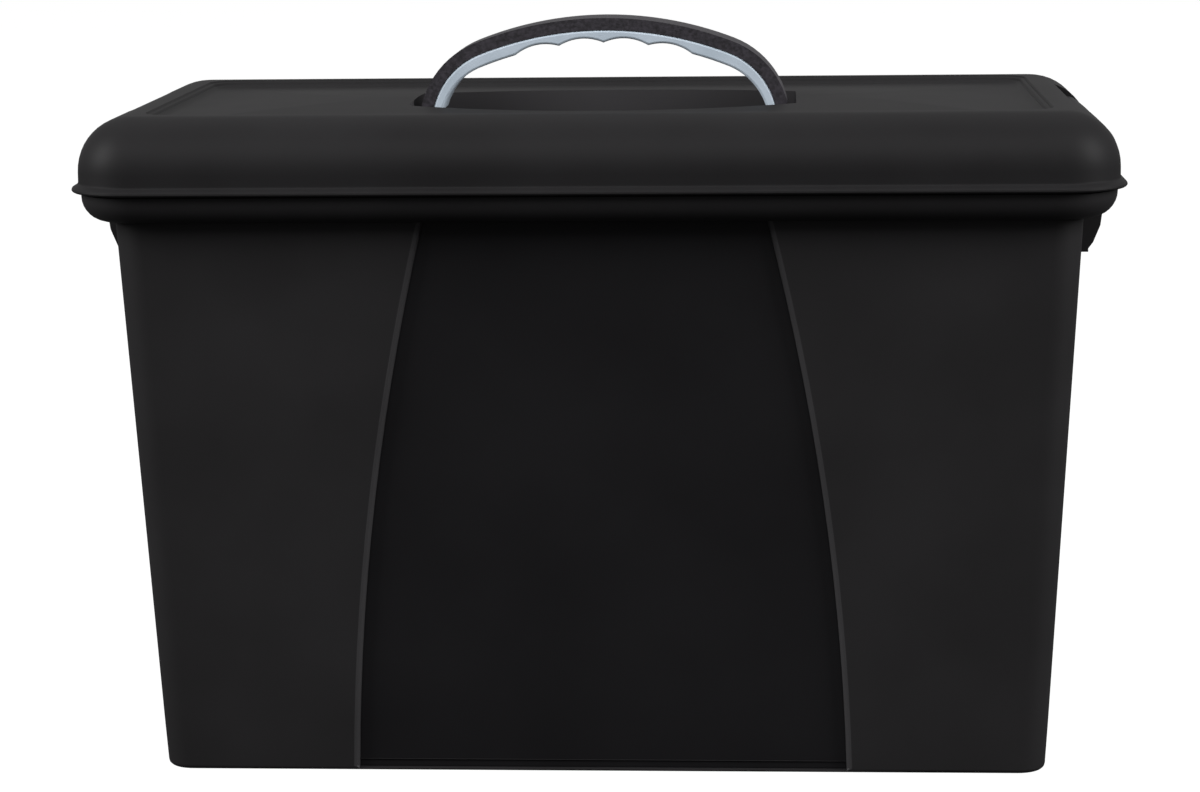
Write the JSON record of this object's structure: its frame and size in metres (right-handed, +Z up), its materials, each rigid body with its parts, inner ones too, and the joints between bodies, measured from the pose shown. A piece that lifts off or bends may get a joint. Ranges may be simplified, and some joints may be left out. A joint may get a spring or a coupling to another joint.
{
  "type": "portable file box",
  "caption": "Portable box for hanging files: tapered tub with a rolled collar, lift-off lid, clip latches over moulded stops on the short sides and a fold-down carry handle.",
  "frame": {"origin": "centre of the flat underside that the box stands on", "axes": "+X along the width towards the right latch, +Z up, front face towards -Y"},
  "size_m": [0.4222, 0.22, 0.3058],
  "materials": {
    "shell": "black moulded plastic, fine satin",
    "lid_shell": "black moulded plastic, fine satin",
    "strap": "black moulded plastic with a fine spark texture",
    "grip": "soft blue-grey moulded grip",
    "latch_plastic": "black moulded plastic, satin",
    "pin_steel": "drawn steel"
  },
  "bodies": {
    "tub": {"tub": "shell"},
    "lid": {"lid": "lid_shell", "handle_pin_left": "pin_steel", "handle_pin_right": "pin_steel", "latch_pin_left": "pin_steel", "latch_pin_right": "pin_steel"},
    "handle": {"handle": "strap", "handle_grip": "grip"},
    "latch_left": {"latch_left": "latch_plastic"},
    "latch_right": {"latch_right": "latch_plastic"}
  },
  "joints": [
    {"name": "lid_lift", "type": "slide", "parent": "tub", "child": "lid", "axis": [0, 0, 1], "range_m": [0, 0.08]},
    {"name": "handle_fold", "type": "hinge", "parent": "lid", "child": "handle", "pos_m": [0, 0, 0.26], "axis": [1, 0, 0], "range_deg": [-90, 90]},
    {"name": "latch_left_swing", "type": "hinge", "parent": "lid", "child": "latch_left", "pos_m": [-0.1985, 0, 0.2615], "axis": [0, 1, 0], "range_deg": [0, 100]},
    {"name": "latch_right_swing", "type": "hinge", "parent": "lid", "child": "latch_right", "pos_m": [0.1985, 0, 0.2615], "axis": [0, -1, 0], "range_deg": [0, 100]}
  ]
}
